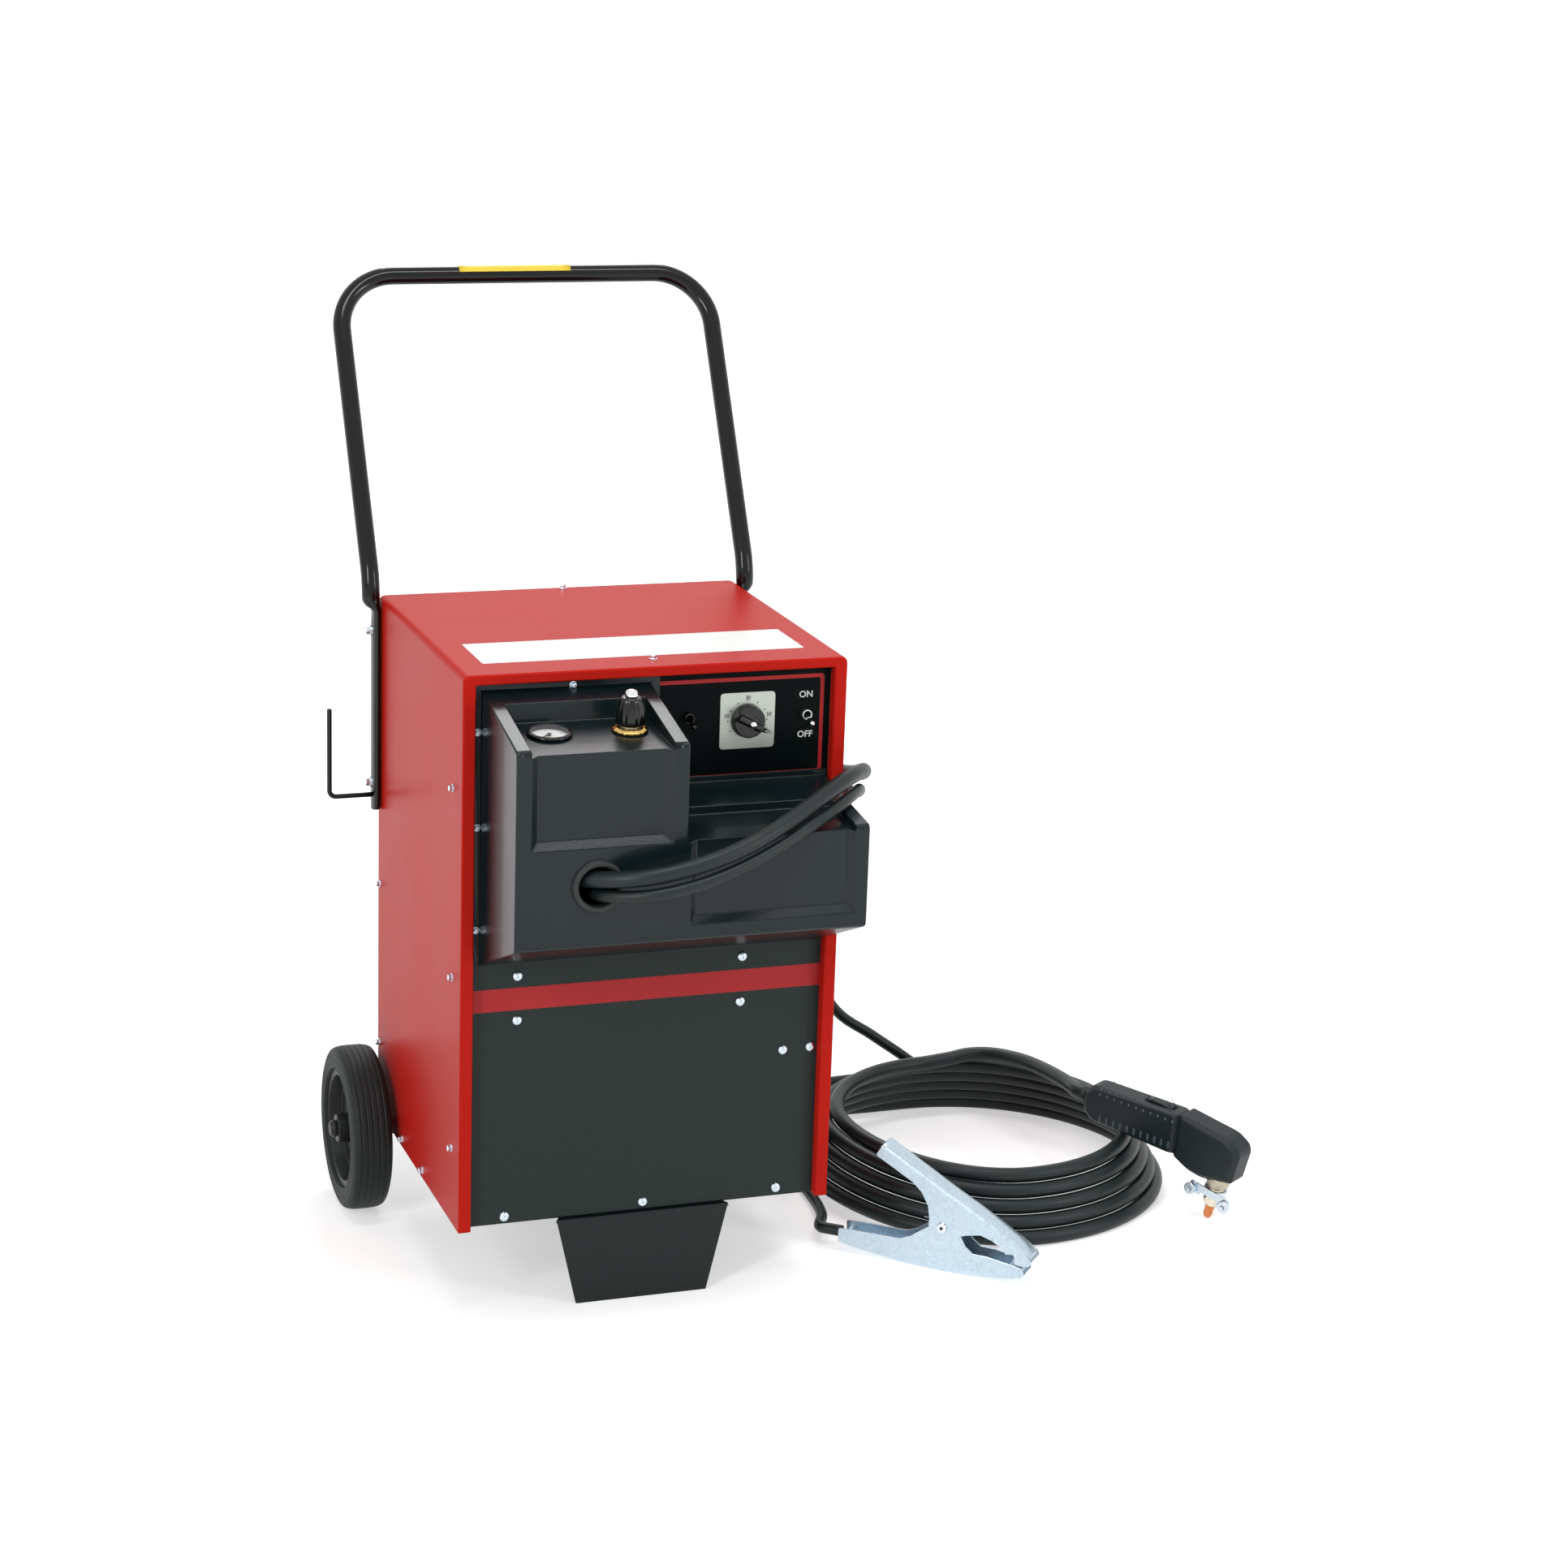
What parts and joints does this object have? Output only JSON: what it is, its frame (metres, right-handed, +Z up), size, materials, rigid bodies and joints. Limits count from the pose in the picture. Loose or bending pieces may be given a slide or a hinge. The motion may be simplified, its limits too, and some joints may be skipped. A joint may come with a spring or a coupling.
{
  "type": "plasma cutter",
  "caption": "Wheeled plasma cutting machine: steel cabinet with moulded front cover, gauge and regulator, control panel, push handle, coiled torch hose with torch, and spring work clamp.",
  "frame": {"origin": "on the foot's sole, on the machine's middle plane and in the plane of the front panel's face", "axes": "+X to the right as seen from the front, +Y to the rear, +Z up"},
  "size_m": [1.0915, 0.801, 1.1347],
  "materials": {
    "red_paint": "semi-gloss",
    "black_paint": "satin",
    "panel_black": "fine grain",
    "gloss_black": "gloss",
    "moulded_black": "fine leather grain",
    "shiny_black": "gloss",
    "rubber": "matt",
    "tyre": "matt",
    "zinc": "zinc plated",
    "bright_steel": "polished",
    "plain_steel": "plain",
    "aluminium": "brushed",
    "brass": "plain",
    "copper": "plain copper",
    "lens": "clear",
    "board": "circuit board"
  },
  "bodies": {
    "machine": {"cabinet_wrap": "red_paint", "base_tray": "black_paint", "rear_panel": "black_paint", "foot": "black_paint", "axle_clamp_left": "black_paint", "axle_clamp_right": "black_paint", "hook_left": "black_paint", "hook_right": "black_paint", "front_panel": "panel_black", "handle": "gloss_black", "front_cover": "moulded_black", "amps_switch_body": "moulded_black", "torch_handle": "moulded_black", "hose_gland": "moulded_black", "lead_gland": "moulded_black", "fan_frame": "moulded_black", "mains_gland": "moulded_black", "gauge_case": "shiny_black", "hole_grommet": "rubber", "torch_hose": "rubber", "torch_hose_coil": "rubber", "torch_hose_end": "rubber", "work_lead": "rubber", "axle_cap_left": "zinc", "axle_cap_right": "zinc", "shield_cup": "zinc", "guide_bracket": "zinc", "clamp_lower": "zinc", "run_toggle_body": "bright_steel", "power_toggle_body": "bright_steel", "torch_collar": "bright_steel", "clamp_pin": "bright_steel", "middle_shelf": "plain_steel", "axle": "plain_steel", "clamp_spring": "plain_steel", "transformer_core": "plain_steel", "regulator_body": "aluminium", "switch_plate": "aluminium", "rectifier_sink": "aluminium", "regulator_nut": "brass", "air_inlet": "brass", "torch_tip": "copper", "transformer_winding": "copper", "gauge_lens": "lens", "control_board": "board"},
    "wheel_left": {"hub_left": "moulded_black", "tyre_left": "tyre"},
    "wheel_right": {"hub_right": "moulded_black", "tyre_right": "tyre"},
    "current_knob": {"amps_knob": "shiny_black"},
    "run_lever": {"run_toggle_lever": "shiny_black"},
    "power_lever": {"power_toggle_lever": "bright_steel"},
    "pressure_knob": {"regulator_knob": "shiny_black"},
    "needle": {"gauge_needle": "shiny_black"},
    "fan": {"fan_blades": "moulded_black"},
    "trigger": {"torch_trigger": "shiny_black"},
    "clamp_jaw": {"clamp_upper": "zinc"},
    "roller_left": {"guide_roller_left": "zinc"},
    "roller_right": {"guide_roller_right": "zinc"}
  },
  "joints": [
    {"name": "wheel_left_spin", "type": "hinge", "parent": "machine", "child": "wheel_left", "pos_m": [-0.2595, 0.358, 0.1015], "axis": [1, 0, 0], "continuous": true},
    {"name": "wheel_right_spin", "type": "hinge", "parent": "machine", "child": "wheel_right", "pos_m": [0.2595, 0.358, 0.1015], "axis": [1, 0, 0], "continuous": true},
    {"name": "current_knob_turn", "type": "hinge", "parent": "machine", "child": "current_knob", "pos_m": [0.1105, 0, 0.695], "axis": [0, -1, 0], "range_deg": [0, 236]},
    {"name": "run_lever_tip", "type": "hinge", "parent": "machine", "child": "run_lever", "pos_m": [0.04, 0.002, 0.702], "axis": [1, 0, 0], "range_deg": [-26, 0]},
    {"name": "power_lever_tip", "type": "hinge", "parent": "machine", "child": "power_lever", "pos_m": [0.181, 0.002, 0.699], "axis": [1, 0, 0], "range_deg": [-26, 0]},
    {"name": "pressure_knob_turn", "type": "hinge", "parent": "machine", "child": "pressure_knob", "pos_m": [-0.054, -0.083, 0.72534], "axis": [0, -0.0837, 0.9965], "range_deg": [-720, 720]},
    {"name": "needle_swing", "type": "hinge", "parent": "machine", "child": "needle", "pos_m": [-0.145, -0.08008, 0.71454], "axis": [0, 0.0837, -0.9965], "range_deg": [0, 270]},
    {"name": "fan_spin", "type": "hinge", "parent": "machine", "child": "fan", "pos_m": [0, 0.3697, 0.52], "axis": [0, 1, 0], "continuous": true},
    {"name": "trigger_press", "type": "hinge", "parent": "machine", "child": "trigger", "pos_m": [0.7244, 0.08417, 0.13141], "axis": [-0.8387, -0.544, -0.0273], "range_deg": [0, 5], "stiffness_Nm_per_rad": 2, "springref_deg": -2.86},
    {"name": "clamp_jaw_open", "type": "hinge", "parent": "machine", "child": "clamp_jaw", "pos_m": [0.38026, -0.0178, 0.057], "axis": [-0.6702, -0.7422, 0], "range_deg": [0, 20], "stiffness_Nm_per_rad": 3, "springref_deg": -22.92},
    {"name": "roller_left_spin", "type": "hinge", "parent": "machine", "child": "roller_left", "pos_m": [0.73418, 0.0394, 0.04196], "axis": [0.8387, 0.544, 0.0273], "continuous": true},
    {"name": "roller_right_spin", "type": "hinge", "parent": "machine", "child": "roller_right", "pos_m": [0.76079, -0.00099, 0.02927], "axis": [0.8387, 0.544, 0.0273], "continuous": true}
  ]
}
